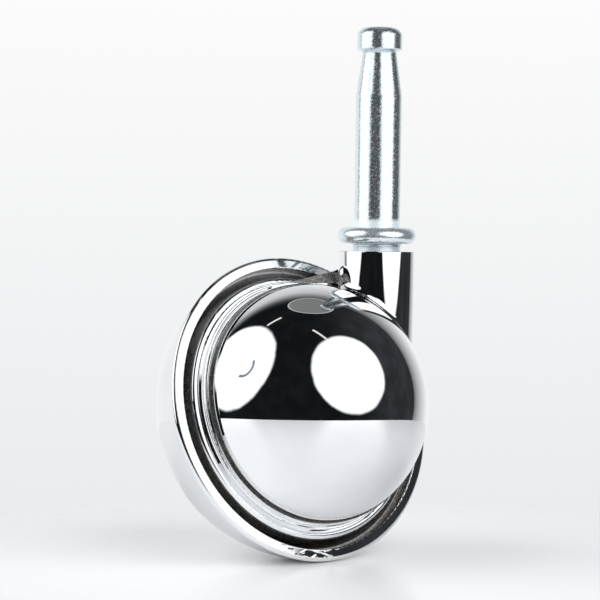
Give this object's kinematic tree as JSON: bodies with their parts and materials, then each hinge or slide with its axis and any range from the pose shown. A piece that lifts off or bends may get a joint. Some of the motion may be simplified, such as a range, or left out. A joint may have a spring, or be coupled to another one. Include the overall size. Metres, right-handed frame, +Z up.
{
  "type": "ball castor",
  "caption": "Chrome-plated ball castor: domed hood on a slanted axle, bowl-shaped wheel behind it, and a swivelling grip-neck stem for a furniture leg.",
  "frame": {"origin": "centre of the collar's top face, on the stem's axis, where the castor meets the end of the leg", "axes": "+Z up along the stem, -Y the side that the dome faces, -X the way the wheel trails behind the swivel axis"},
  "size_m": [0.053, 0.0459, 0.0909],
  "materials": {
    "hood": "polished chrome plate on a zinc casting",
    "wheel": "polished chrome plate on a zinc casting, rough as cast inside the bowl",
    "stem": "bright zinc plate with drawn streaks",
    "steel": "ground",
    "bush": "oiled bronze",
    "washer": "natural nylon"
  },
  "bodies": {
    "stem": {"stem": "stem", "stem_ring": "steel"},
    "hood": {"hood": "hood", "axle": "steel", "thrust_washer": "washer", "thrust_ball": "steel", "axle_ring": "steel"},
    "wheel": {"wheel": "wheel", "axle_bush": "bush"}
  },
  "joints": [
    {"name": "swivel", "type": "hinge", "parent": "stem", "child": "hood", "pos_m": [0, 0, 0], "axis": [0, 0, 1], "continuous": true},
    {"name": "wheel_spin", "type": "hinge", "parent": "hood", "child": "wheel", "pos_m": [-0.0142, 0, -0.03035], "axis": [0, -0.9563, 0.2924], "continuous": true}
  ]
}
